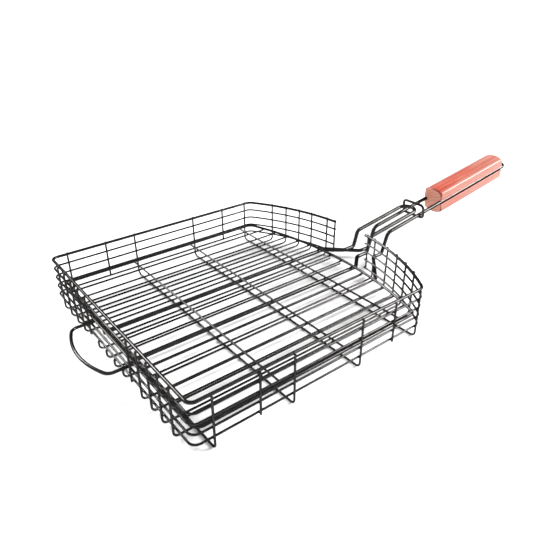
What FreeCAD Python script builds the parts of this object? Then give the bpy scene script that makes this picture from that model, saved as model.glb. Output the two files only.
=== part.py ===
"""Wire grill basket: an open mesh tray with a wood-gripped handle, an inner lid hinged at the back
and an oblong ring that slides along the handle wires to lock the two together.

Frame, in millimetres: +X points to the handle, +Z up, and the origin lies on the surface that the
tray stands on, under the middle of its cross wires. The basket is symmetric about the XZ plane.
Right is +Y and left is -Y, as seen by the person who holds the grip and looks at the basket.
"""
import FreeCAD, Part
import math
import os

import Sketcher
from FreeCAD import Placement, Rotation, Vector

# Driving dimensions, in millimetres and degrees. A "centre" is a wire's centreline.
DIMENSIONS = {
    # Wire diameters
    "mesh_wire": 2.0,
    "rim_wire": 3.0,
    "loop_wire": 3.0,
    "ring_wire": 3.2,
    "frame_wire": 4.5,
    # Tray walls: centreline of the rails, seen from above
    "tray_half_width": 140.0,
    "tray_back": 133.0,
    "tray_arc_centre": 69.3,
    "tray_arc_radius": 236.8,
    "rim_back_bend": 6.0,
    "rail_back_bend": 7.0,
    "tray_front_bend": 10.0,
    # Tray walls: heights above the surface
    "rim_height": 52.0,
    "rail_pitch": 10.1,
    # Gap in the front wall that the handle wires pass through
    "gap_post_offset": 27.0,
    "rail_overhang": 3.0,
    # Tray bottom
    "cross_pitch": 77.0,
    "floor_pitch": 17.6,
    "inner_floor_offset": 39.0,
    "centre_wire_front": 162.5,
    "mesh_bend": 4.5,
    "post_top_rise": 0.1,
    "post_foot": 10.0,
    "side_post_shift": 4.2,
    # Lid
    "lid_height": 22.0,
    "lid_half_width": 135.0,
    "lid_back": 127.5,
    "lid_front": 144.3,
    "lid_arc_radius": 386.0,
    "lid_bend": 8.0,
    "lid_pitch": 18.0,
    "lid_rod_offset": 27.8,
    "lid_cross_first": 45.5,
    "lid_cross_pitch": 73.75,
    "weld_bite": 0.1,
    # Hinge loop at the back of the lid
    "loop_half_width": 41.0,
    "loop_inner_end": 124.5,
    "loop_apex": 162.5,
    "loop_bow_radius": 88.0,
    "loop_bend": 8.0,
    # Handle wires
    "handle_half_width": 11.0,
    "handle_tilt": 8.5,
    "handle_gap": 8.2,
    "handle_bend": 8.0,
    "tray_splay_x": 161.1,
    "tray_splay_y": 49.0,
    "tray_neck": 199.0,
    "tray_foot": 213.5,
    "tray_shoulder_x": 222.0,
    "tray_shoulder_z": 34.4,
    "tail_apex": 469.5,
    "lid_splay_x": 150.0,
    "lid_neck": 169.5,
    "lid_foot": 186.0,
    "lid_shoulder": 191.5,
    "lid_handle_apex": 276.5,
    # Locking ring
    "ring_half_width": 15.4,
    "ring_clearance": 0.6,
    "ring_bend": 4.5,
    "ring_station": 282.0,
    # Wooden grip
    "grip_front": 320.5,
    "grip_length": 137.0,
    "grip_half_width": 13.5,
    "grip_side_height": 25.5,
    "grip_height": 34.0,
    "grip_groove_clearance": 0.05,
    "grip_edge_round": 2.5,
}

TRAY_CROSS_WIRES = 4
LID_CROSS_WIRES = 3
SIDES = {"right": 1, "left": -1}

doc = FreeCAD.newDocument("grill_basket")
dims = doc.addObject("Spreadsheet::Sheet", "dims")
for row, (alias, value) in enumerate(DIMENSIONS.items(), start=1):
    dims.set(f"A{row}", alias)
    dims.set(f"B{row}", str(value))
    dims.setAlias(f"B{row}", alias)
doc.recompute()

nodes = []


def size(expression):
    """Value of an expression in the sheet's aliases, in millimetres or degrees."""
    return float(dims.evalExpression(expression.replace("dims.", "")))


# ---------------------------------------------------------------- paths of bent wires, in one plane

def along_x(level):
    """A straight stretch at a constant second coordinate."""
    return {"kind": "along_x", "at": level}


def along_y(level):
    """A straight stretch at a constant first coordinate."""
    return {"kind": "along_y", "at": level}


def bow(centre, radius, side):
    """A shallow arc centred on the first axis, bulging towards side (+1 or -1) of it."""
    return {"kind": "bow", "centre": centre, "radius": radius, "side": side}


def crossing(first, second):
    """The point where two straight stretches would meet."""
    if first["kind"] == "along_x":
        return Vector(size(second["at"]), size(first["at"]), 0)
    return Vector(size(first["at"]), size(second["at"]), 0)


def bow_bend(line, arc, radius):
    """Centre of a bend inside an arc and beside a straight stretch, and its two tangent points."""
    level, big = size(line["at"]), size(arc["radius"])
    centre_y = level - math.copysign(radius, level)
    reach = math.sqrt((big - radius) ** 2 - centre_y ** 2)
    arc_centre = Vector(size(arc["centre"]), 0, 0)
    centre = arc_centre + Vector(arc["side"] * reach, centre_y, 0)
    on_line = Vector(centre.x, level, 0)
    on_arc = arc_centre + (centre - arc_centre).normalize() * big
    return centre, on_line, on_arc


def end_point(stretch, coordinate):
    """The end of a path on its first or last stretch."""
    value = size(coordinate)
    if stretch["kind"] == "along_x":
        return Vector(value, size(stretch["at"]), 0)
    if stretch["kind"] == "along_y":
        return Vector(size(stretch["at"]), value, 0)
    reach = math.sqrt(size(stretch["radius"]) ** 2 - value ** 2)
    return Vector(size(stretch["centre"]) + stretch["side"] * reach, value, 0)


def arc_about(centre, first, last):
    """The shorter arc from first to last about centre, and its end that comes first on the path."""
    turn = (first - centre).cross(last - centre).z
    start, finish = (first, last) if turn > 0 else (last, first)
    low = math.atan2(start.y - centre.y, start.x - centre.x)
    high = math.atan2(finish.y - centre.y, finish.x - centre.x)
    if high < low:
        high += 2 * math.pi
    circle = Part.Circle(centre, Vector(0, 0, 1), (first - centre).Length)
    return Part.ArcOfCircle(circle, low, high), (1 if turn > 0 else 2)


def bends_of(stretches, bend_radius, closed):
    """Centre and tangent points of the bend after each stretch."""
    count = len(stretches)
    ends = [None] * count
    for index in range(count if closed else count - 1):
        here, after = stretches[index], stretches[(index + 1) % count]
        radius = size(bend_radius[index])
        if "bow" in (here["kind"], after["kind"]):
            line, arc = (after, here) if here["kind"] == "bow" else (here, after)
            centre, on_line, on_arc = bow_bend(line, arc, radius)
            pair = (on_arc, on_line) if here["kind"] == "bow" else (on_line, on_arc)
            ends[index] = (centre, *pair)
    return ends


def straight_bend(corner, before, after, radius):
    """Centre and tangent points of a right-angled bend at a corner."""
    back = (before - corner).normalize() * radius
    on = (after - corner).normalize() * radius
    return corner + back + on, corner + back, corner + on


def path_bends(stretches, bend_radius, ends):
    """Every bend of a path as (centre, tangent point before, tangent point after)."""
    closed = ends is None
    count = len(stretches)
    bends = bends_of(stretches, bend_radius, closed)
    corners = []
    for index in range(count if closed else count - 1):
        here, after = stretches[index], stretches[(index + 1) % count]
        corners.append(bends[index][1] if bends[index] else crossing(here, after))
    for index, corner in enumerate(corners):
        if bends[index]:
            continue
        if index or closed:
            before = bends[index - 1][2] if bends[index - 1] else corners[index - 1]
        else:
            before = end_point(stretches[0], ends[0])
        if index + 1 < len(corners) or closed:
            later = corners[(index + 1) % len(corners)]
        else:
            later = end_point(stretches[-1], ends[1])
        bends[index] = straight_bend(corner, before, later, size(bend_radius[index]))
    return bends[:len(corners)]


class PathSketch:
    """A sketch of tangent lines and arcs whose constraints are bound to the sheet."""

    def __init__(self, sketch):
        self.sketch = sketch

    def bind(self, kind, *where, to):
        constraint = self.sketch.addConstraint(Sketcher.Constraint(kind, *where, size(to)))
        name = f"{kind.lower()}_{constraint}"
        self.sketch.renameConstraint(constraint, name)
        self.sketch.setExpression(f"Constraints.{name}", to)

    def stretch(self, shape, first, last):
        """Adds a stretch and returns its index and which of its ends comes first."""
        if shape["kind"] == "bow":
            centre = Vector(size(shape["centre"]), 0, 0)
            arc, start = arc_about(centre, first, last)
            index = self.sketch.addGeometry(arc, False)
            self.bind("Radius", index, to=shape["radius"])
            self.bind("DistanceX", -1, 1, index, 3, to=shape["centre"])
            self.sketch.addConstraint(Sketcher.Constraint("PointOnObject", index, 3, -1))
            return index, start
        index = self.sketch.addGeometry(Part.LineSegment(first, last), False)
        level = shape["kind"] == "along_x"
        self.sketch.addConstraint(Sketcher.Constraint("Horizontal" if level else "Vertical", index))
        self.bind("DistanceY" if level else "DistanceX", -1, 1, index, 1, to=shape["at"])
        return index, 1

    def bend(self, centre, first, last, radius):
        arc, start = arc_about(centre, first, last)
        index = self.sketch.addGeometry(arc, False)
        self.bind("Radius", index, to=radius)
        return index, start

    def join(self, before, after):
        """Makes the end of one piece tangent to the start of the next."""
        (first, first_start), (second, second_start) = before, after
        where = (first, 3 - first_start, second, second_start)
        self.sketch.addConstraint(Sketcher.Constraint("Tangent", *where))


def plane_of(body, role):
    return next(item for item in body.Origin.OriginFeatures if item.Role == role)


def new_sketch(body, name, role):
    sketch = body.newObject("Sketcher::SketchObject", f"{body.Name}_{name}")
    sketch.AttachmentSupport = (plane_of(body, role), [""])
    sketch.MapMode = "FlatFace"
    return sketch


def bent_wire(label, wire, role, stretches, bend_radius, ends=None, place=None):
    """A round wire swept along stretches and bends in one plane. It is closed if ends is None."""
    body = doc.addObject("PartDesign::Body", label)
    path = PathSketch(new_sketch(body, "path", role))
    bends = path_bends(stretches, bend_radius, ends)
    count = len(stretches)
    pieces = []
    for index, shape in enumerate(stretches):
        first = end_point(shape, ends[0]) if ends and index == 0 else bends[index - 1][2]
        last = end_point(shape, ends[1]) if ends and index == count - 1 else bends[index][1]
        pieces.append(path.stretch(shape, first, last))
        if index < len(bends):
            pieces.append(path.bend(*bends[index], bend_radius[index]))
    for before, after in zip(pieces, pieces[1:]):
        path.join(before, after)
    if ends:
        for piece, shape, coordinate, far in (
            (pieces[0], stretches[0], ends[0], False),
            (pieces[-1], stretches[-1], ends[1], True),
        ):
            point = 3 - piece[1] if far else piece[1]
            kind = "DistanceX" if shape["kind"] == "along_x" else "DistanceY"
            path.bind(kind, -1, 1, piece[0], point, to=coordinate)
    else:
        path.join(pieces[-1], pieces[0])
    doc.recompute()

    section = body.newObject("Sketcher::SketchObject", f"{label}_section")
    section.AttachmentSupport = (path.sketch, ["Edge1"])
    section.MapMode = "NormalToEdge"
    section.MapPathParameter = 0.0
    section.addGeometry(Part.Circle(Vector(0, 0, 0), Vector(0, 0, 1), size(wire) / 2), False)
    section.addConstraint(Sketcher.Constraint("Coincident", 0, 3, -1, 1))
    diameter = section.addConstraint(Sketcher.Constraint("Diameter", 0, size(wire)))
    section.renameConstraint(diameter, "wire")
    section.setExpression("Constraints.wire", wire)

    sweep = body.newObject("PartDesign::AdditivePipe", f"{label}_sweep")
    sweep.Profile = section
    sweep.Spine = (path.sketch, [f"Edge{number + 1}" for number in range(len(pieces))])
    for axis, expression in (place or {}).items():
        body.setExpression(f"Placement.Base.{axis}", expression)
    doc.recompute()
    length = path.sketch.Shape.Length
    expected = math.pi * size(wire) ** 2 / 4 * length
    check(path.sketch.FullyConstrained, f"{label}: path is not fully constrained")
    check(abs(body.Shape.Volume / expected - 1) < 0.002, f"{label}: wrong volume")
    nodes.append(body)
    return body


def straight_wire(label, wire, direction, start, length):
    """A straight round wire from start along x, y or z. start holds an expression for each axis."""
    rod = doc.addObject("Part::Cylinder", label)
    rod.setExpression("Radius", f"{wire} / 2")
    rod.setExpression("Height", length)
    turn = {
        "x": Rotation(Vector(0, 1, 0), 90),
        "y": Rotation(Vector(1, 0, 0), -90),
        "z": Rotation(),
    }[direction]
    rod.Placement = Placement(Vector(0, 0, 0), turn)
    for axis, expression in zip("xyz", start):
        rod.setExpression(f"Placement.Base.{axis}", expression)
    nodes.append(rod)
    return rod


def check(good, message):
    if not good:
        raise RuntimeError(message)


# ---------------------------------------------------------------- tray

BOTTOM = "dims.mesh_wire / 2"
FLOOR = "dims.mesh_wire * 1.5"
WIRE_TOP = "dims.rim_height + dims.post_top_rise"
OUTSIDE = "(dims.tray_half_width + dims.mesh_wire)"
OUTSIDE_BACK = "-(dims.tray_back + dims.mesh_wire)"
RIM_INSET = "(dims.rim_wire - dims.mesh_wire) / 2"


def wall_x(offset, outward="0"):
    """X of the front arc, moved outward from the rails, at an offset from the middle."""
    radius = f"(dims.tray_arc_radius + {outward})"
    return f"(sqrt({radius} * {radius} - ({offset}) * ({offset})) - dims.tray_arc_centre)"


def wall_loop(label, wire, inset, back_bend, height, end):
    """The rim or a rail: round the two sides and the back, open at the front gap."""
    half = f"(dims.tray_half_width - {inset})"
    arc = bow("-dims.tray_arc_centre", f"(dims.tray_arc_radius - {inset})", 1)
    bent_wire(
        label, wire, "XY_Plane",
        [arc, along_x(half), along_y(f"-(dims.tray_back - {inset})"), along_x(f"-{half}"), arc],
        ["dims.tray_front_bend", back_bend, back_bend, "dims.tray_front_bend"],
        ends=(end, f"-({end})"), place={"z": height},
    )


def rail_height(step):
    return f"dims.rim_height - {step} * dims.rail_pitch"


LONG_END = "dims.gap_post_offset - dims.rail_overhang"
SHORT_END = "dims.gap_post_offset - dims.mesh_wire / 2"
wall_loop("rim", "dims.rim_wire", RIM_INSET, "dims.rim_back_bend", "dims.rim_height", LONG_END)
RAILS = {
    "upper_rail": LONG_END,
    "middle_rail": SHORT_END,
    "pivot_rail": SHORT_END,
    "lower_rail": SHORT_END,
}
for step, (label, end) in enumerate(RAILS.items(), start=1):
    wall_loop(label, "dims.mesh_wire", "0", "dims.rail_back_bend", rail_height(step), end)
LOWER_RAIL = rail_height(4)

for number in range(TRAY_CROSS_WIRES):
    station = f"({number} - ({TRAY_CROSS_WIRES} - 1) / 2) * dims.cross_pitch"
    bent_wire(
        f"cross_wire_{number + 1}", "dims.mesh_wire", "YZ_Plane",
        [along_y(f"-{OUTSIDE}"), along_x(BOTTOM), along_y(OUTSIDE)],
        ["dims.mesh_bend", "dims.mesh_bend"], ends=(WIRE_TOP, WIRE_TOP), place={"x": station},
    )

for side, sign in SIDES.items():
    for place, way in (("rear", -1), ("front", 1)):
        x = f"{way} * dims.cross_pitch + dims.side_post_shift"
        straight_wire(
            f"side_post_{side}_{place}", "dims.mesh_wire", "z",
            (x, f"{sign} * {OUTSIDE}", "dims.post_foot"), f"{WIRE_TOP} - dims.post_foot",
        )
    for number in range(4):
        offset = f"({number} + 3.5) * dims.floor_pitch"
        bent_wire(
            f"floor_wire_{side}_{number + 1}", "dims.mesh_wire", "XZ_Plane",
            [along_y(OUTSIDE_BACK), along_x(FLOOR), along_y(wall_x(offset, "dims.mesh_wire"))],
            ["dims.mesh_bend", "dims.mesh_bend"], ends=(WIRE_TOP, WIRE_TOP),
            place={"y": f"{sign} * {offset}"},
        )
    bent_wire(
        f"inner_floor_wire_{side}", "dims.mesh_wire", "XZ_Plane",
        [along_x(FLOOR), along_y(wall_x("dims.inner_floor_offset", "dims.mesh_wire"))],
        ["dims.mesh_bend"], ends=("-1.5 * dims.cross_pitch", WIRE_TOP),
        place={"y": f"{sign} * dims.inner_floor_offset"},
    )
    for number in range(2):
        bent_wire(
            f"centre_wire_{side}_{number + 1}", "dims.mesh_wire", "XZ_Plane",
            [along_y(OUTSIDE_BACK), along_x(FLOOR)], ["dims.mesh_bend"],
            ends=(f"{LOWER_RAIL} + dims.post_top_rise", "dims.centre_wire_front"),
            place={"y": f"{sign} * ({number} + 0.5) * dims.floor_pitch"},
        )
    foot = f"{LOWER_RAIL} - dims.mesh_wire / 2"
    height = f"{WIRE_TOP} - ({foot})"
    straight_wire(
        f"back_post_{side}", "dims.mesh_wire", "z",
        (OUTSIDE_BACK, f"{sign} * 2.5 * dims.floor_pitch", foot), height,
    )
    x = wall_x("dims.gap_post_offset", "dims.mesh_wire")
    straight_wire(
        f"gap_post_{side}", "dims.mesh_wire", "z",
        (x, f"{sign} * dims.gap_post_offset", foot), height,
    )


# ---------------------------------------------------------------- the two long handle wires

def rounded_path(corners, radii):
    """Edges through the corners, with a tangent arc of its own radius at each inner one."""
    edges, start = [], corners[0]
    for before, corner, after, radius in zip(corners, corners[1:], corners[2:], radii):
        back = (before - corner).normalize()
        on = (after - corner).normalize()
        half_turn = (math.pi - back.getAngle(on)) / 2
        cut = radius * math.tan(half_turn)
        middle = corner + (back + on).normalize() * (radius / math.cos(half_turn) - radius)
        first, last = corner + back * cut, corner + on * cut
        edges.append(Part.LineSegment(start, first).toShape())
        edges.append(Part.Arc(first, middle, last).toShape())
        start = last
    edges.append(Part.LineSegment(start, corners[-1]).toShape())
    return edges


def mirrored(point):
    return Vector(point.x, -point.y, point.z)


def hairpin_wire(label, corners, radii, apex):
    """A wire that runs out along corners, turns back in a half circle at apex and returns mirrored."""
    half = size("handle_half_width")
    up_slope = Vector(math.cos(TILT), 0, math.sin(TILT))
    turn_start = corners[-1]
    out = rounded_path(corners, radii)
    returned = rounded_path([mirrored(point) for point in corners[::-1]], radii[::-1])
    tip = Vector(turn_start.x, 0, turn_start.z) + up_slope * half
    check(abs(tip.x - apex) < 1e-6, f"{label}: the turn does not end at its apex")
    spine = Part.Wire(out + [Part.Arc(turn_start, tip, mirrored(turn_start)).toShape()] + returned)
    axis = corners[1] - corners[0]
    ring = Part.Wire(Part.Circle(corners[0], axis, size("frame_wire") / 2).toShape())
    feature = doc.addObject("Part::Feature", label)
    feature.Shape = spine.makePipeShell([ring], True, False)
    expected = math.pi * size("frame_wire") ** 2 / 4 * spine.Length
    check(abs(feature.Shape.Volume / expected - 1) < 0.002, f"{label}: wrong volume")
    nodes.append(feature)


TILT = math.radians(size("handle_tilt"))
NECK_Y = size("handle_half_width")


def slope_height(x):
    """Height of the tray's handle wire, on its slope."""
    return size("tray_shoulder_z") + (x - size("tray_shoulder_x")) * math.tan(TILT)


def turn_start_x(apex):
    """Where a half-circle turn begins on the slope, for the X of its apex."""
    return apex - size("handle_half_width") * math.cos(TILT)


def tray_handle_wire():
    level = size(f"{LOWER_RAIL} - (dims.mesh_wire + dims.frame_wire) / 2")
    turn_x = turn_start_x(size("tail_apex"))
    corners = [
        Vector(size("tray_splay_x"), size("tray_splay_y"), level),
        Vector(size("tray_neck"), NECK_Y, level),
        Vector(size("tray_foot"), NECK_Y, level),
        Vector(size("tray_shoulder_x"), NECK_Y, size("tray_shoulder_z")),
        Vector(turn_x, NECK_Y, slope_height(turn_x)),
    ]
    bend = size("handle_bend")
    hairpin_wire("tray_handle_wire", corners, [bend, bend / 2, bend], size("tail_apex"))


def lid_handle_wire():
    level = size("lid_height - (rim_wire + frame_wire) / 2")
    lift = size("handle_gap") / math.cos(TILT)
    offset = size("lid_rod_offset")
    shoulder_x, turn_x = size("lid_shoulder"), turn_start_x(size("lid_handle_apex"))
    corners = [
        Vector(-size("lid_back") - size("rim_wire") / 3, offset, level),
        Vector(size("lid_splay_x"), offset, level),
        Vector(size("lid_neck"), NECK_Y, level),
        Vector(size("lid_foot"), NECK_Y, level),
        Vector(shoulder_x, NECK_Y, slope_height(shoulder_x) + lift),
        Vector(turn_x, NECK_Y, slope_height(turn_x) + lift),
    ]
    bend = size("handle_bend")
    hairpin_wire("lid_handle_wire", corners, [bend, bend, bend / 2, bend / 2], size("lid_handle_apex"))


tray_handle_wire()
lid_handle_wire()


# ---------------------------------------------------------------- lid

LID_LONG = "dims.lid_height - (dims.rim_wire + dims.mesh_wire) / 2"
LID_CROSS = f"{LID_LONG} + dims.mesh_wire"
LID_END = "dims.mesh_wire / 2"
lid_sides = "dims.lid_half_width"
bent_wire(
    "lid_border", "dims.rim_wire", "XY_Plane",
    [
        along_y("-dims.lid_back"), along_x(f"-{lid_sides}"),
        bow("dims.lid_front - dims.lid_arc_radius", "dims.lid_arc_radius", 1), along_x(lid_sides),
    ],
    ["dims.lid_bend"] * 4, place={"z": "dims.lid_height"},
)

for number in range(LID_CROSS_WIRES):
    half = "(dims.lid_half_width - dims.rim_wire / 2 + dims.weld_bite)"
    x = f"{number} * dims.lid_cross_pitch - dims.lid_cross_first"
    straight_wire(
        f"lid_cross_wire_{number + 1}", "dims.mesh_wire", "y",
        (x, f"-{half}", LID_CROSS), f"2 * {half}",
    )

for side, sign in SIDES.items():
    # The lid's handle wire takes the second place out from the middle.
    for number, place in enumerate((0, 2, 3, 4, 5, 6), start=1):
        offset = f"({place} + 0.5) * dims.lid_pitch"
        back = f"-(dims.lid_back + {LID_END})"
        front = (
            f"(sqrt(dims.lid_arc_radius * dims.lid_arc_radius - {offset} * {offset})"
            f" + dims.lid_front - dims.lid_arc_radius + {LID_END})"
        )
        straight_wire(
            f"lid_wire_{side}_{number}", "dims.mesh_wire", "x",
            (back, f"{sign} * {offset}", LID_LONG), f"{front} - ({back})",
        )

loop_leg = "dims.loop_half_width"
loop_bow = bow("dims.loop_bow_radius - dims.loop_apex", "dims.loop_bow_radius", -1)
bent_wire(
    "hinge_loop", "dims.loop_wire", "XY_Plane",
    [along_x(f"-{loop_leg}"), loop_bow, along_x(loop_leg)],
    ["dims.loop_bend"] * 2, ends=("-dims.loop_inner_end", "-dims.loop_inner_end"),
    place={"z": "dims.lid_height + (dims.rim_wire + dims.loop_wire) / 2"},
)


# ---------------------------------------------------------------- locking ring

def on_slope(x, across):
    """Point over the tray's handle wire at station x, moved square to the slope in the XZ plane."""
    return Vector(x, 0, slope_height(x)) + Vector(-math.sin(TILT), 0, math.cos(TILT)) * across


SLOPE_TURN = Rotation(Vector(0, 1, 0), -size("handle_tilt"))
ring_half = "((dims.handle_gap + dims.frame_wire + dims.ring_wire) / 2 + dims.ring_clearance)"
ring = bent_wire(
    "lock_ring", "dims.ring_wire", "YZ_Plane",
    [
        along_x(f"-{ring_half}"), along_y("dims.ring_half_width"),
        along_x(ring_half), along_y("-dims.ring_half_width"),
    ],
    ["dims.ring_bend"] * 4,
)
ring.Placement = Placement(on_slope(size("ring_station"), size("handle_gap") / 2), SLOPE_TURN)


# ---------------------------------------------------------------- wooden grip

def grip():
    """A bar with flat sides, crowned top and bottom, and a groove along each side for the wire."""
    body = doc.addObject("PartDesign::Body", "grip")
    half_w, half_side = size("grip_half_width"), size("grip_side_height") / 2
    half_h = size("grip_height") / 2
    outline = new_sketch(body, "outline", "YZ_Plane")
    corner = {
        (y, z): Vector(y * half_w, z * half_side, 0) for y in (-1, 1) for z in (-1, 1)
    }
    crown = half_h - half_side
    crown_radius = (half_w ** 2 + crown ** 2) / (2 * crown)
    sag = half_h - crown_radius
    right = outline.addGeometry(Part.LineSegment(corner[1, -1], corner[1, 1]), False)
    top, top_start = arc_about(Vector(0, sag, 0), corner[1, 1], corner[-1, 1])
    top = outline.addGeometry(top, False)
    left = outline.addGeometry(Part.LineSegment(corner[-1, 1], corner[-1, -1]), False)
    low, low_start = arc_about(Vector(0, -sag, 0), corner[-1, -1], corner[1, -1])
    low = outline.addGeometry(low, False)
    for before, after in (
        ((right, 2), (top, top_start)), ((top, 3 - top_start), (left, 1)),
        ((left, 2), (low, low_start)), ((low, 3 - low_start), (right, 1)),
    ):
        outline.addConstraint(Sketcher.Constraint("Coincident", *before, *after))
    bound = PathSketch(outline)
    for line in (right, left):
        outline.addConstraint(Sketcher.Constraint("Vertical", line))
    bound.bind("DistanceX", -1, 1, right, 1, to="dims.grip_half_width")
    bound.bind("DistanceX", -1, 1, left, 1, to="-dims.grip_half_width")
    bound.bind("DistanceY", -1, 1, right, 1, to="-dims.grip_side_height / 2")
    bound.bind("DistanceY", -1, 1, right, 2, to="dims.grip_side_height / 2")
    bound.bind("DistanceY", -1, 1, left, 1, to="dims.grip_side_height / 2")
    bound.bind("DistanceY", -1, 1, left, 2, to="-dims.grip_side_height / 2")
    crown_height = "(dims.grip_height - dims.grip_side_height) / 2"
    half_width = "dims.grip_half_width"
    radius = f"({half_width} * {half_width} + {crown_height} * {crown_height}) / (2 * {crown_height})"
    bound.bind("Radius", top, to=radius)
    bound.bind("Radius", low, to=radius)
    pad = body.newObject("PartDesign::Pad", "grip_bar")
    pad.Profile = outline
    pad.setExpression("Length", "dims.grip_length")
    doc.recompute()
    check(outline.FullyConstrained, "grip: outline is not fully constrained")

    groove = new_sketch(body, "groove", "YZ_Plane")
    groove_radius = "dims.frame_wire / 2 + dims.grip_groove_clearance"
    radius = size(groove_radius)
    mouth = "dims.grip_half_width + dims.frame_wire"
    for sign in (1, -1):
        floor_y, mouth_y = sign * NECK_Y, sign * size(mouth)
        shape = PathSketch(groove)
        centre = Vector(floor_y, 0, 0)
        circle = Part.Circle(centre, Vector(0, 0, 1), radius)
        start_angle = math.pi / 2 if sign > 0 else -math.pi / 2
        bed = groove.addGeometry(Part.ArcOfCircle(circle, start_angle, start_angle + math.pi), False)
        first, last = (1, 2) if sign > 0 else (2, 1)
        upper = groove.addGeometry(
            Part.LineSegment(Vector(floor_y, radius, 0), Vector(mouth_y, radius, 0)), False)
        close = groove.addGeometry(
            Part.LineSegment(Vector(mouth_y, radius, 0), Vector(mouth_y, -radius, 0)), False)
        lower = groove.addGeometry(
            Part.LineSegment(Vector(mouth_y, -radius, 0), Vector(floor_y, -radius, 0)), False)
        for kind, *where in (
            ("Tangent", upper, 1, bed, first), ("Coincident", upper, 2, close, 1),
            ("Coincident", close, 2, lower, 1), ("Tangent", lower, 2, bed, last),
            ("Horizontal", upper), ("Horizontal", lower), ("Vertical", close),
            ("PointOnObject", bed, 3, -1),
        ):
            groove.addConstraint(Sketcher.Constraint(kind, *where))
        shape.bind("Radius", bed, to=groove_radius)
        shape.bind("DistanceX", -1, 1, bed, 3, to=f"{sign} * dims.handle_half_width")
        shape.bind("DistanceX", -1, 1, close, 1, to=f"{sign} * ({mouth})")
    doc.recompute()
    check(groove.FullyConstrained, "grip: groove is not fully constrained")
    before = body.Shape.Volume
    cut = body.newObject("PartDesign::Pocket", "grip_grooves")
    cut.Profile = groove
    cut.Type = "ThroughAll"
    cut.Reversed = True
    doc.recompute()
    check(body.Shape.Volume < before - 1000, "grip: the grooves cut nothing")

    # Rounds the long corners between the flat sides and the crowns, and the edges of both ends.
    def long_corner(edge):
        start, end = edge.Vertexes[0].Point, edge.Vertexes[-1].Point
        lengthwise = abs(start.x - end.x) > size("grip_length") - 1
        return lengthwise and abs(abs(start.z) - half_side) < 0.01

    def end_crown(edge):
        start, end = edge.Vertexes[0].Point, edge.Vertexes[-1].Point
        flat = abs(start.x - end.x) < 0.01
        outside = min(abs(start.z), abs(end.z)) > half_side - 0.01
        return flat and outside and edge.Length > half_w

    named = [
        f"Edge{number}" for number, edge in enumerate(cut.Shape.Edges, start=1)
        if long_corner(edge) or end_crown(edge)
    ]
    fillet = body.newObject("PartDesign::Fillet", "grip_round")
    fillet.Base = (cut, named)
    fillet.setExpression("Radius", "dims.grip_edge_round")
    doc.recompute()
    body.Placement = Placement(on_slope(size("grip_front"), 0), SLOPE_TURN)
    nodes.append(body)


grip()


# ---------------------------------------------------------------- checks and export

doc.recompute()
for item in doc.Objects:
    check(not {"Invalid", "Error"} & set(item.State), f"{item.Label}: {item.State}")
os.makedirs("parts", exist_ok=True)
for node in nodes:
    shape = node.Shape
    check(not shape.isNull() and shape.isValid(), f"{node.Label}: bad shape")
    check(len(shape.Solids) == 1, f"{node.Label}: {len(shape.Solids)} solids")
    shape.exportStep(f"parts/{node.Label}.step")
print(len(nodes), "nodes")
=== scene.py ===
"""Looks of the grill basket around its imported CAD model.

The CAD wires keep their shape and get a coated-wire material. New pieces: the wooden grip, which takes
the place of the CAD grip, and the weld fillets where wires cross. Lengths are in metres, and +X points
from the basket to the tail of the handle.
"""
import math

import bmesh
import bpy
from mathutils import Matrix, Vector


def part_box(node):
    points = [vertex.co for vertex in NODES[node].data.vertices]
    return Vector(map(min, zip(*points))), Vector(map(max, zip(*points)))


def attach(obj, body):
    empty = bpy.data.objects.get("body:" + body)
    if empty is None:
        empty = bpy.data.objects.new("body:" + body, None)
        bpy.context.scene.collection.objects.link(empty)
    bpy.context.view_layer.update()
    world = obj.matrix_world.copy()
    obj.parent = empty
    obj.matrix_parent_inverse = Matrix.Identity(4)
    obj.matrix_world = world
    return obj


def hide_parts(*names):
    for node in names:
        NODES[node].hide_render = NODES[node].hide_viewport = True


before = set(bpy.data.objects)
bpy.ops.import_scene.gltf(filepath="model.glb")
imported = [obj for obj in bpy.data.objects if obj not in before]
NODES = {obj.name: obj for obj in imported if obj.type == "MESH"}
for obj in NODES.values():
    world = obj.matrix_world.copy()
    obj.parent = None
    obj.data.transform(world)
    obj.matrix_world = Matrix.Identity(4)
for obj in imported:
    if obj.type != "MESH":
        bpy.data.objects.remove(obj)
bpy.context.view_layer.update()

MM = 0.001


# ---------------------------------------------------------------- shader helpers

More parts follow.
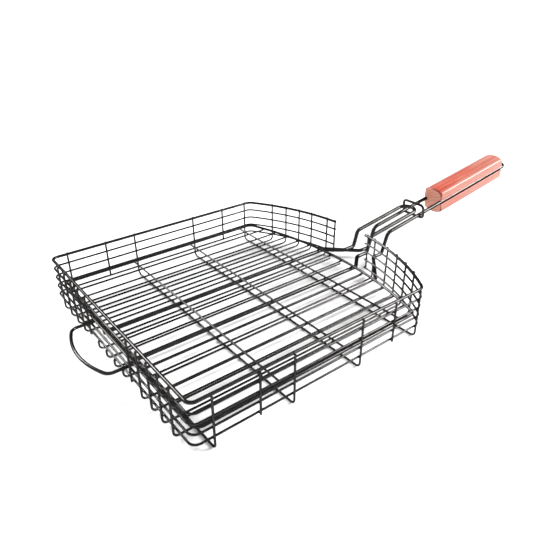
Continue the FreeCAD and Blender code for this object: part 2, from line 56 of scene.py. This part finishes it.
class Shader:
    """A material's node tree, with short calls for the nodes used here."""

    def __init__(self, name):
        self.material = bpy.data.materials.new(name)
        self.material.use_nodes = True
        self.tree = self.material.node_tree
        self.tree.nodes.clear()
        self.surface = self.node("ShaderNodeBsdfPrincipled")
        output = self.node("ShaderNodeOutputMaterial")
        self.link(self.surface.outputs["BSDF"], output.inputs["Surface"])

    def node(self, kind, **settings):
        made = self.tree.nodes.new(kind)
        for key, value in settings.items():
            setattr(made, key, value)
        return made

    def link(self, source, target):
        self.tree.links.new(source, target)

    def feed(self, target, value):
        """Links a socket, or sets a number or colour on it."""
        if isinstance(value, bpy.types.NodeSocket):
            self.link(value, target)
        else:
            target.default_value = value

    def set_surface(self, settings):
        """Feeds the surface shader's own inputs, by name."""
        for name, value in settings.items():
            self.feed(self.surface.inputs[name], value)

    def turned(self, output, turn):
        """The object-space point ("Object") or normal ("Normal"), turned about Y."""
        coordinates = self.node("ShaderNodeTexCoord")
        mapping = self.node("ShaderNodeMapping")
        mapping.inputs["Rotation"].default_value = (0, turn, 0)
        self.link(coordinates.outputs[output], mapping.inputs["Vector"])
        return mapping.outputs["Vector"]

    def object_point(self, turn=0.0, scale=(1, 1, 1)):
        """The point on the piece in its own space, turned about Y, then scaled."""
        made = self.node("ShaderNodeVectorMath", operation="MULTIPLY")
        self.link(self.turned("Object", turn), made.inputs[0])
        made.inputs[1].default_value = scale
        return made.outputs["Vector"]

    def noise(self, point, scale, detail=3.0, roughness=0.5, distortion=0.0):
        """Noise from 0 to 1, with scale as its cells per metre."""
        made = self.node("ShaderNodeTexNoise")
        self.feed(made.inputs["Vector"], point)
        made.inputs["Scale"].default_value = scale
        made.inputs["Detail"].default_value = detail
        made.inputs["Roughness"].default_value = roughness
        made.inputs["Distortion"].default_value = distortion
        return made.outputs["Fac"]

    def ramp(self, value, low, high, start=0.0, end=1.0):
        """start below low, end above high, and a smooth step between."""
        made = self.node("ShaderNodeMapRange", interpolation_type="SMOOTHSTEP")
        self.feed(made.inputs["Value"], value)
        made.inputs["From Min"].default_value = low
        made.inputs["From Max"].default_value = high
        made.inputs["To Min"].default_value = start
        made.inputs["To Max"].default_value = end
        return made.outputs["Result"]

    def math(self, operation, *values):
        made = self.node("ShaderNodeMath", operation=operation)
        for target, value in zip(made.inputs, values):
            self.feed(target, value)
        return made.outputs["Value"]

    def mix(self, factor, first, second):
        made = self.node("ShaderNodeMix", data_type="RGBA")
        self.feed(made.inputs["Factor"], factor)
        self.feed(made.inputs["A"], first)
        self.feed(made.inputs["B"], second)
        return made.outputs["Result"]

    def split(self, point):
        made = self.node("ShaderNodeSeparateXYZ")
        self.link(point, made.inputs["Vector"])
        return made.outputs["X"], made.outputs["Y"], made.outputs["Z"]

    def bump(self, height, distance, strength, under=None):
        """A bumped normal, on top of another one where under is given."""
        made = self.node("ShaderNodeBump")
        self.feed(made.inputs["Height"], height)
        made.inputs["Distance"].default_value = distance
        made.inputs["Strength"].default_value = strength
        if under is not None:
            self.link(under, made.inputs["Normal"])
        return made.outputs["Normal"]


def colour(red, green, blue):
    return (red, green, blue, 1.0)


# ---------------------------------------------------------------- materials

HANDLE_TILT = math.radians(8.5)

COAT_DARK = colour(0.033, 0.032, 0.032)
COAT_LIGHT = colour(0.050, 0.048, 0.047)
COAT_DUST = colour(0.075, 0.070, 0.066)
COAT_WORN = colour(0.13, 0.122, 0.116)
COAT_SPECULAR = colour(0.02, 0.02, 0.02)

# The heights between which the rub on the undersides fades out, and the stretches along X over which
# the scuffs from the ring fade in and out.
RUB_FADE = (0.12 * MM, 0.45 * MM)
SCUFF_START = (230 * MM, 246 * MM)
SCUFF_END = (300 * MM, 318 * MM)

# Pairs of colours run from the dark to the light lines of the grain.
STAIN_DEEP = (colour(0.34, 0.040, 0.020), colour(0.47, 0.085, 0.048))
# The pale pair is thin stain, and also painted sheen on the grip's flat sides.
PALE_STAIN_AND_SIDE_SHEEN = (colour(0.35, 0.115, 0.080), colour(0.46, 0.185, 0.140))
STAIN_END_GRAIN = (colour(0.44, 0.160, 0.105), colour(0.58, 0.250, 0.170))
STAIN_PORES = colour(0.24, 0.040, 0.024)
STAIN_END_PORES = colour(0.27, 0.085, 0.055)
# A dark red for the rounded end edges: gathered stain and painted shade.
EDGE_STAIN_AND_SHADE = colour(0.22, 0.024, 0.014)

# The wood's heart line lies this far from the grip's axis towards -Y and down. Growth rings are this
# wide about it, and a soft noise shifts them by up to this much.
HEART_ASIDE = 21 * MM
HEART_BELOW = 34 * MM
GROWTH_RING = 3.4 * MM
GROWTH_WARP = 6.5 * MM

# The darkening on the end edges, gathered stain and painted shade together, fades in between these two
# distances from an end.
EDGE_STAIN_AND_SHADE_FADE = (3.0 * MM, 1.4 * MM)


def coated_wire():
    """Black baked-on coating over steel: glossy, faintly orange-peeled, scuffed where pieces rub."""
    shader = Shader("coated_wire_finish")
    point = shader.object_point()
    x, _, z = shader.split(point)
    mottle = shader.noise(point, scale=90.0, detail=4.0, roughness=0.6)
    dust = shader.noise(point, scale=700.0, detail=3.0, roughness=0.6)
    base = shader.mix(shader.ramp(mottle, 0.35, 0.7), COAT_DARK, COAT_LIGHT)
    base = shader.mix(shader.ramp(dust, 0.62, 0.8, 0.0, 0.3), base, COAT_DUST)

    # Rubbed through on the undersides of the cross wires that stand on the grate.
    grate_point = shader.object_point(scale=(1.0, 0.15, 1.0))
    scratch = shader.noise(grate_point, scale=900.0, detail=2.0, roughness=0.7)
    under = shader.ramp(z, *RUB_FADE, 1.0, 0.0)
    rub = shader.math("MULTIPLY", under, shader.ramp(scratch, 0.42, 0.6))

    # Lengthwise scuffs on the handle rods where the ring slides.
    rod_point = shader.object_point(turn=HANDLE_TILT, scale=(0.08, 1.0, 1.0))
    streak = shader.noise(rod_point, scale=1500.0, detail=2.0, roughness=0.6)
    travel = shader.math("MULTIPLY", shader.ramp(x, *SCUFF_START), shader.ramp(x, *SCUFF_END, 1.0, 0.0))
    scuff = shader.math("MULTIPLY", travel, shader.ramp(streak, 0.55, 0.72, 0.0, 0.55))
    worn = shader.math("MAXIMUM", rub, scuff)

    cloudy = shader.noise(point, scale=260.0, detail=3.0, roughness=0.55)
    rough = shader.ramp(cloudy, 0.3, 0.7, 0.15, 0.23)
    peel = shader.noise(point, scale=650.0, detail=2.0, roughness=0.5)
    shader.set_surface({
        "Base Color": shader.mix(worn, base, COAT_WORN),
        "Roughness": shader.math("ADD", rough, shader.math("MULTIPLY", worn, 0.15)),
        "Metallic": 0.9,
        "Specular Tint": COAT_SPECULAR,
        "Normal": shader.bump(peel, distance=0.06 * MM, strength=0.3),
    })
    return shader.material


def grip_wood(length):
    """Reddish stained hardwood under satin varnish. The grain runs up the handle's slope."""
    shader = Shader("grip_wood_finish")
    x, y, z = shader.split(shader.object_point(turn=HANDLE_TILT))

    def drawn_out(along, across, **settings):
        """Noise drawn out along the grain, from its cells per metre along and across it."""
        point = shader.object_point(turn=HANDLE_TILT, scale=(along, across, across))
        return shader.noise(point, scale=1.0, **settings)

    warp = drawn_out(6.0, 60.0, detail=2.0, roughness=0.5)
    streak = drawn_out(14.0, 420.0, detail=4.0, roughness=0.62, distortion=0.3)
    pores = drawn_out(70.0, 2600.0, detail=2.0, roughness=0.5)
    mottle = drawn_out(18.0, 45.0, detail=3.0, roughness=0.55)

    # Growth rings about a heart line below and to one side of the bar.
    off_y = shader.math("ADD", y, HEART_ASIDE)
    off_z = shader.math("ADD", z, HEART_BELOW)
    squares = shader.math("MULTIPLY", off_y, off_y), shader.math("MULTIPLY", off_z, off_z)
    reach = shader.math("SQRT", shader.math("ADD", *squares))
    reach = shader.math("ADD", reach, shader.math("MULTIPLY", warp, GROWTH_WARP))
    rings = shader.math("SINE", shader.math("MULTIPLY", reach, 2 * math.pi / GROWTH_RING))
    rings = shader.math("MULTIPLY_ADD", rings, 0.22, 0.5)
    grain = shader.math("ADD", shader.math("MULTIPLY", rings, 0.45), shader.math("MULTIPLY", streak, 0.55))
    tone = shader.ramp(grain, 0.34, 0.66)

    # Painted sheen: the two flat sides are made paler, standing in for light glancing off them. The colour
    # also pales towards the tail, and the stain thins in patches.
    outward_x, outward_y, _ = shader.split(shader.turned("Normal", HANDLE_TILT))
    painted_side_sheen = shader.ramp(shader.math("ABSOLUTE", outward_y), 0.20, 0.75, 0.0, 0.65)
    tailward = shader.ramp(x, length * 0.1, length * 1.05, 0.0, 0.55)
    patchy = shader.ramp(mottle, 0.34, 0.66, -0.10, 0.38)
    pale_stain_and_side_sheen = shader.math("ADD", shader.math("ADD", painted_side_sheen, tailward), patchy)
    pale_stain_and_side_sheen.node.use_clamp = True
    # Blends to the pale pair: thin stain in patches, painted sheen on the sides, paler towards the tail.
    base = shader.mix(pale_stain_and_side_sheen, shader.mix(tone, *STAIN_DEEP), shader.mix(tone, *PALE_STAIN_AND_SIDE_SHEEN))
    base = shader.mix(shader.ramp(pores, 0.60, 0.72, 0.0, 0.45), base, STAIN_PORES)

    # End grain drinks more stain. The rounded edges of both ends are darkened, partly as gathered stain
    # and partly as painted shade.
    facing = shader.math("ABSOLUTE", outward_x)
    end_face = shader.ramp(facing, 0.86, 0.985)
    end_base = shader.mix(shader.ramp(grain, 0.36, 0.62), *STAIN_END_GRAIN)
    end_base = shader.mix(shader.ramp(pores, 0.5, 0.7, 0.0, 0.5), end_base, STAIN_END_PORES)
    base = shader.mix(end_face, base, end_base)
    from_middle = shader.math("ABSOLUTE", shader.math("SUBTRACT", x, length / 2))
    near_end = shader.ramp(from_middle, *(length / 2 - inset for inset in EDGE_STAIN_AND_SHADE_FADE))
    # The mask of the end edges' darkening, gathered stain and painted shade together.
    edge = shader.math("MULTIPLY", near_end, shader.ramp(facing, 0.06, 0.35))
    edge = shader.math("MULTIPLY", edge, shader.math("SUBTRACT", 1.0, end_face))
    base = shader.mix(shader.math("MULTIPLY", edge, 0.9), base, EDGE_STAIN_AND_SHADE)

    lines = shader.bump(streak, distance=0.25 * MM, strength=0.35)
    shader.set_surface({
        "Base Color": base,
        "Roughness": shader.ramp(streak, 0.3, 0.7, 0.34, 0.46),
        "Specular IOR Level": 0.35,
        "Coat Weight": 0.3,
        "Coat Roughness": 0.32,
        "Normal": shader.bump(pores, distance=0.1 * MM, strength=0.3, under=lines),
    })
    return shader.material


WIRE = coated_wire()


# ---------------------------------------------------------------- CAD nodes

for name, node in NODES.items():
    if name != "grip":
        for material_slot in node.material_slots:
            material_slot.material = WIRE


# ---------------------------------------------------------------- wooden grip

def new_piece(name, mesh, material, body):
    piece = bpy.data.objects.new(name, mesh)
    bpy.context.scene.collection.objects.link(piece)
    mesh.materials.append(material)
    for face in mesh.polygons:
        face.use_smooth = True
    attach(piece, body)
    return piece


# Dimensions of the grip: they repeat the CAD's. GRIP_FRONT is the x of its front end, GRIP_SIDE is half
# the height of a flat side, and SHOULDER is the (x, z) where the handle's slope starts.
GRIP_LENGTH = 137 * MM
GRIP_FRONT = 320.5 * MM
GRIP_HALF_WIDTH = 13.5 * MM
GRIP_HALF_HEIGHT = 17 * MM
GRIP_SIDE = 12.75 * MM
GRIP_CORNER = 2.5 * MM
GROOVE_Y = 11 * MM
GROOVE_RADIUS = 2.3 * MM
SHOULDER = (222.0 * MM, 34.4 * MM)

# Softer edges, which the CAD leaves out: the groove's lip, and the rounded edge of both ends, which
# grows from GROOVE_ROUND to GRIP_CORNER over ROUND_OVER of height from ROUND_FROM up.
GROOVE_LIP = 0.5 * MM
GROOVE_ROUND = 0.4 * MM
ROUND_FROM = 3 * MM
ROUND_OVER = 8 * MM

# Steps of the grip's mesh.
CROWN_STEPS, CORNER_STEPS, LIP_STEPS, GROOVE_STEPS = 14, 6, 4, 8
SIDE_SHARES = (0.2, 0.4, 0.6, 0.8)
END_STEPS = 6
END_ZONE = 3 * MM
LENGTH_SHARES = (0.15, 0.35, 0.5, 0.65, 0.85)


def arc(centre, radius, start, end, steps):
    """Points on an arc in (y, z), angles in radians from +Y, both ends included."""
    return [
        (
            centre[0] + radius * math.cos(start + (end - start) * step / steps),
            centre[1] + radius * math.sin(start + (end - start) * step / steps),
        )
        for step in range(steps + 1)
    ]


def grip_quarter():
    """Outline from the top of the crown round to the bed of the groove, as (y, z) points."""
    crown = GRIP_HALF_HEIGHT - GRIP_SIDE
    radius = (GRIP_HALF_WIDTH ** 2 + crown ** 2) / (2 * crown)
    low = GRIP_HALF_HEIGHT - radius
    corner_y = GRIP_HALF_WIDTH - GRIP_CORNER
    corner_z = low + math.sqrt((radius - GRIP_CORNER) ** 2 - corner_y ** 2)
    turn = math.atan2(corner_z - low, corner_y)
    points = arc((0, low), radius, math.pi / 2, turn, CROWN_STEPS)
    points += arc((corner_y, corner_z), GRIP_CORNER, turn, 0, CORNER_STEPS)[1:]
    lip = (GRIP_HALF_WIDTH - GROOVE_LIP, GROOVE_RADIUS + GROOVE_LIP)
    for share in SIDE_SHARES:
        points.append((GRIP_HALF_WIDTH, corner_z + (lip[1] - corner_z) * share))
    points += arc(lip, GROOVE_LIP, 0, -math.pi / 2, LIP_STEPS)
    points += arc((GROOVE_Y, 0), GROOVE_RADIUS, math.pi / 2, math.pi, GROOVE_STEPS)
    return points


def grip_outline():
    quarter = grip_quarter()
    half = quarter + [(y, -z) for y, z in quarter[-2::-1]]
    return half + [(-y, z) for y, z in half[-2:0:-1]]


def outward_normals(outline):
    normals = []
    for before, after in zip(outline[-1:] + outline[:-1], outline[1:] + outline[:1]):
        along = Vector((after[0] - before[0], after[1] - before[1])).normalized()
        normals.append((along.y, -along.x))
    return normals


def end_round(height):
    """Radius of the rounded edge of both ends: small at the groove, full at the crown."""
    share = min(max((height - ROUND_FROM) / ROUND_OVER, 0), 1)
    return GROOVE_ROUND + (GRIP_CORNER - GROOVE_ROUND) * share


def station_x(share, back):
    """x of a ring of points: on the front end's round, on the tail end's round, or between them."""
    if share == 0:
        return back
    if share == 1:
        return GRIP_LENGTH - back
    return END_ZONE + (GRIP_LENGTH - 2 * END_ZONE) * share


def quads(first, second):
    """Corners of each face between two rings of points: two on the first ring, then two on the second."""
    count = len(first)
    for index in range(count):
        after = (index + 1) % count
        yield first[index], first[after], second[after], second[index]


def grip_mesh():
    outline = grip_outline()
    normals = outward_normals(outline)
    rounds = [end_round(abs(z)) for _, z in outline]
    angles = [math.pi / 2 * step / END_STEPS for step in range(END_STEPS + 1)]
    stations = [(0, angle) for angle in angles]
    stations += [(share, math.pi / 2) for share in LENGTH_SHARES]
    stations += [(1, angle) for angle in angles[::-1]]
    bm = bmesh.new()
    loops = []
    for share, angle in stations:
        loop = []
        for (y, z), (normal_y, normal_z), radius in zip(outline, normals, rounds):
            inset = radius * (1 - math.sin(angle))
            x = station_x(share, radius * (1 - math.cos(angle)))
            loop.append(bm.verts.new((x, y + normal_y * inset, z + normal_z * inset)))
        loops.append(loop)
    for first, second in zip(loops, loops[1:]):
        for here, painted_side_sheen, far_beside, far in quads(first, second):
            bm.faces.new((here, far, far_beside, painted_side_sheen))
    for loop in (loops[0], loops[-1]):
        for edge in bm.faces.new(loop).edges:
            edge.smooth = False
    bmesh.ops.recalc_face_normals(bm, faces=bm.faces)
    bm.transform(Matrix.Rotation(-HANDLE_TILT, 4, "Y"))
    mesh = bpy.data.meshes.new("wood_grip")
    bm.to_mesh(mesh)
    bm.free()
    return mesh


grip = new_piece("wood_grip", grip_mesh(), grip_wood(GRIP_LENGTH), "tray")
grip.location = (GRIP_FRONT, 0, SHOULDER[1] + (GRIP_FRONT - SHOULDER[0]) * math.tan(HANDLE_TILT))
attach(grip, "tray")
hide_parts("grip")


# ---------------------------------------------------------------- weld fillets where wires cross

# Radii of the mesh wire, of the rim's and borders' wire, and of the handle rods.
MESH = 1.0 * MM
RIM = 1.5 * MM
ROD = 2.25 * MM

# The mesh wires that run round the tray's walls under the rim.
RAILS = ("upper_rail", "middle_rail", "pivot_rail", "lower_rail")

# The tray's front is an arc about this x, and the lid's front is an arc of this radius.
TRAY_ARC_CENTRE = -69.3 * MM
LID_ARC_RADIUS = 386.0 * MM

# How far a fillet blends two wires, sinks into them and reaches from their contact point.
BLEND = 1.1 * MM
SINK = 0.04 * MM
REACH = 1.5 * MM

# A fillet's points: so many around, at these angles in degrees above the contact plane. Each is found
# by that many steps outwards, then that many halvings.
AROUND = 16
LEVELS = [-78, -50, -32, -18, -6, 6, 18, 32, 50, 78]
OUTWARD_STEPS = 12
HALVINGS = 8

X_AXIS, Y_AXIS, Z_AXIS = Vector((1, 0, 0)), Vector((0, 1, 0)), Vector((0, 0, 1))

# Fillets worked out so far, about a contact point at the origin, by their wires' directions and radii.
FILLETS = {}


def off_axis(point, centre, axis):
    """Distance from a point to a wire's centreline near a crossing."""
    across = point - centre
    return (across - axis * across.dot(axis)).length


def filleted(point, wires):
    """Signed distance to two wires joined by a fillet, sunk a little into their surfaces."""
    first, second = (off_axis(point, centre, axis) - radius for centre, axis, radius in wires)
    near = max(BLEND - abs(first - second), 0)
    return min(first, second) - near * near / (4 * BLEND) + SINK


def surface_reach(way, wires):
    """Distance from the contact point to the fillet's surface in one direction, at most REACH."""
    for step in range(1, OUTWARD_STEPS + 1):
        high = REACH * step / OUTWARD_STEPS
        if filleted(way * high, wires) > 0:
            break
    else:
        return REACH
    low = high - REACH / OUTWARD_STEPS
    for _ in range(HALVINGS):
        middle = (low + high) / 2
        if filleted(way * middle, wires) > 0:
            high = middle
        else:
            low = middle
    return high


def fillet_points(up, wires):
    """Rings of points on the fillet's surface about the contact point, from below to above."""
    side = wires[0][1]
    other = up.cross(side)
    rings = []
    for level in LEVELS:
        rise = math.radians(level)
        ring = []
        for step in range(AROUND):
            turn = 2 * math.pi * (step + 0.5) / AROUND
            level_way = side * math.cos(turn) + other * math.sin(turn)
            way = level_way * math.cos(rise) + up * math.sin(rise)
            ring.append(way * surface_reach(way, wires))
        rings.append(ring)
    return rings


def add_fillet(bm, place, up, low_axis, low_radius, high_axis, high_radius):
    """Adds the fillet of two touching wires: up points from the low wire to the high one."""
    up = up.normalized()
    crossing = (*up, *low_axis, low_radius / MM, *high_axis, high_radius / MM)
    key = tuple(round(value, 4) for value in crossing)
    if key not in FILLETS:
        wires = [
            (up * -low_radius, low_axis.normalized(), low_radius),
            (up * high_radius, high_axis.normalized(), high_radius),
        ]
        FILLETS[key] = fillet_points(up, wires)
    rings = [[bm.verts.new(place + point) for point in ring] for ring in FILLETS[key]]
    for first, second in zip(rings, rings[1:]):
        for corners in quads(first, second):
            bm.faces.new(corners)
    bm.faces.new(rings[0][::-1])
    bm.faces.new(rings[-1])


def middle_of(node):
    low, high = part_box(node)
    return (low + high) / 2


def names(*starts):
    """The CAD nodes whose names start so, one start after another."""
    return [node for start in starts for node in sorted(NODES) if node.startswith(start)]


def uprights():
    """Every upright of the tray's walls as (x, y, bottom, top, direction out of the wall)."""
    found = []
    for name in names("cross_wire_"):
        low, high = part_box(name)
        x = middle_of(name).x
        found.append((x, low.y + MESH, low.z, high.z, -Y_AXIS))
        found.append((x, high.y - MESH, low.z, high.z, Y_AXIS))
    for name in names("side_post_"):
        low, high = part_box(name)
        x, y, _ = middle_of(name)
        found.append((x, y, low.z, high.z, Y_AXIS * math.copysign(1, y)))
    for name in names("back_post_"):
        low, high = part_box(name)
        x, y, _ = middle_of(name)
        found.append((x, y, low.z, high.z, -X_AXIS))
    for name in names("floor_wire_", "centre_wire_"):
        low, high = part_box(name)
        found.append((low.x + MESH, middle_of(name).y, low.z, high.z, -X_AXIS))
    for name in names("floor_wire_", "inner_floor_wire_", "gap_post_"):
        low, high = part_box(name)
        x, y = high.x - MESH, middle_of(name).y
        found.append((x, y, low.z, high.z, Vector((x - TRAY_ARC_CENTRE, y, 0)).normalized()))
    return found


def tray_fillets(bm):
    rails = [(middle_of(name).z, MESH) for name in RAILS]
    rails.append((middle_of("rim").z, RIM))
    for x, y, bottom, top, out in uprights():
        along = out.cross(Z_AXIS)
        for z, radius in rails:
            if bottom - MESH < z < top + MESH:
                place = Vector((x, y, z)) - out * MESH
                add_fillet(bm, place, out, along, radius, Z_AXIS, MESH)

    # The cross wires lie on z = 0, and the floor wires lie on them.
    contact_z = 2 * MESH
    for cross in names("cross_wire_"):
        x = middle_of(cross).x
        for name in names("floor_wire_", "inner_floor_wire_", "centre_wire_"):
            low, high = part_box(name)
            if low.x - MESH < x < high.x:
                place = Vector((x, middle_of(name).y, contact_z))
                add_fillet(bm, place, Z_AXIS, Y_AXIS, MESH, X_AXIS, MESH)


def lid_fillets(bm):
    """The lid's border and cross wires lie on its long wires, and the hinge loop lies on the border."""
    low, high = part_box("lid_border")
    back, front = low.x + RIM, high.x - RIM
    arc_centre = front - LID_ARC_RADIUS
    level = middle_of("lid_border").z - RIM
    rod_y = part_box("lid_handle_wire")[1].y - ROD
    longs = [(middle_of(name).y, MESH) for name in names("lid_wire_")] + [(rod_y, ROD), (-rod_y, ROD)]
    for y, radius in longs:
        for cross in names("lid_cross_wire_"):
            add_fillet(bm, Vector((middle_of(cross).x, y, level)), Z_AXIS, X_AXIS, radius, Y_AXIS, MESH)
        add_fillet(bm, Vector((back, y, level)), Z_AXIS, X_AXIS, radius, Y_AXIS, RIM)
        ahead = math.sqrt(LID_ARC_RADIUS ** 2 - y ** 2)
        tangent = Vector((-y, ahead, 0)).normalized()
        add_fillet(bm, Vector((arc_centre + ahead, y, level)), Z_AXIS, X_AXIS, radius, tangent, RIM)
    loop_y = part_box("hinge_loop")[1].y - RIM
    for y in (loop_y, -loop_y):
        add_fillet(bm, Vector((back, y, level + 2 * RIM)), Z_AXIS, Y_AXIS, RIM, X_AXIS, RIM)


for body, fill in (("tray", tray_fillets), ("lid", lid_fillets)):
    fillets = bmesh.new()
    fill(fillets)
    fillet_mesh = bpy.data.meshes.new(f"weld_fillets_{body}")
    fillets.to_mesh(fillet_mesh)
    fillets.free()
    new_piece(f"weld_fillets_{body}", fillet_mesh, WIRE, body)


# ---------------------------------------------------------------- stage, light and camera

FLOOR_HALF = 30.0
FLOOR_SHADES = (colour(0.80, 0.80, 0.803), colour(0.83, 0.83, 0.83))

# Brightness of the studio by the sine of the height above the horizon.
HEIGHT_LEVELS = [(0.0, 1.0), (0.05, 1.0), (0.20, 0.48), (1.0, 0.48)]

CAMERA_PLACE = Vector((-0.2594, -0.3946, 0.3103))
CAMERA_AZIMUTH = math.radians(51.54)
CAMERA_DOWN = math.radians(29.21)
LENS = 35.18
SENSOR = 36.0


def floor():
    mesh = bpy.data.meshes.new("floor")
    corners = [(-1, -1), (1, -1), (1, 1), (-1, 1)]
    mesh.from_pydata([(x * FLOOR_HALF, y * FLOOR_HALF, 0) for x, y in corners], [], [(0, 1, 2, 3)])
    piece = bpy.data.objects.new("floor", mesh)
    bpy.context.scene.collection.objects.link(piece)
    shader = Shader("pale_floor")
    shade = shader.noise(shader.object_point(), scale=3.0, detail=2.0)
    shader.set_surface({
        "Base Color": shader.mix(shade, *FLOOR_SHADES),
        "Roughness": 0.9,
        "Specular IOR Level": 0.1,
    })
    mesh.materials.append(shader.material)


def look_at(obj, place, target):
    obj.location = place
    obj.rotation_euler = (Vector(target) - Vector(place)).to_track_quat("-Z", "Y").to_euler()


def soft_sun(name, place, spread, strength):
    """A broad, distant soft box, spread in degrees: it lights the whole floor evenly."""
    data = bpy.data.lights.new(name, "SUN")
    data.angle = math.radians(spread)
    data.energy = strength
    light = bpy.data.objects.new(name, data)
    bpy.context.scene.collection.objects.link(light)
    look_at(light, place, (0, 0, 0))


def studio():
    """A white horizon that fades to a dim ceiling."""
    world = bpy.data.worlds.new("studio")
    world.use_nodes = True
    tree = world.node_tree
    coordinates = tree.nodes.new("ShaderNodeTexCoord")
    split = tree.nodes.new("ShaderNodeSeparateXYZ")
    tree.links.new(coordinates.outputs["Generated"], split.inputs["Vector"])
    ramp = tree.nodes.new("ShaderNodeValToRGB")
    ramp.color_ramp.interpolation = "EASE"
    stops = ramp.color_ramp.elements
    for at, _ in HEIGHT_LEVELS[1:-1]:
        stops.new(at)
    for stop, (at, level) in zip(stops, HEIGHT_LEVELS):
        stop.position = at
        stop.color = colour(level, level, level)
    tree.links.new(split.outputs["Z"], ramp.inputs["Fac"])
    backdrop = tree.nodes["Background"]
    tree.links.new(ramp.outputs["Color"], backdrop.inputs["Color"])
    bpy.context.scene.world = world


def photo_camera():
    lens = bpy.data.cameras.new("camera")
    lens.lens = LENS
    lens.sensor_width = SENSOR
    camera = bpy.data.objects.new("camera", lens)
    bpy.context.scene.collection.objects.link(camera)
    flat = math.cos(CAMERA_DOWN)
    aim = Vector((
        flat * math.cos(CAMERA_AZIMUTH), flat * math.sin(CAMERA_AZIMUTH), -math.sin(CAMERA_DOWN)
    ))
    look_at(camera, CAMERA_PLACE, CAMERA_PLACE + aim)
    bpy.context.scene.camera = camera


floor()
soft_sun("key", (0.71, -0.49, 0.50), 24, 6.2)
soft_sun("left", (-0.28, 0.77, 0.57), 18, 4.3)
studio()
bpy.context.scene.view_settings.view_transform = "Standard"
photo_camera()
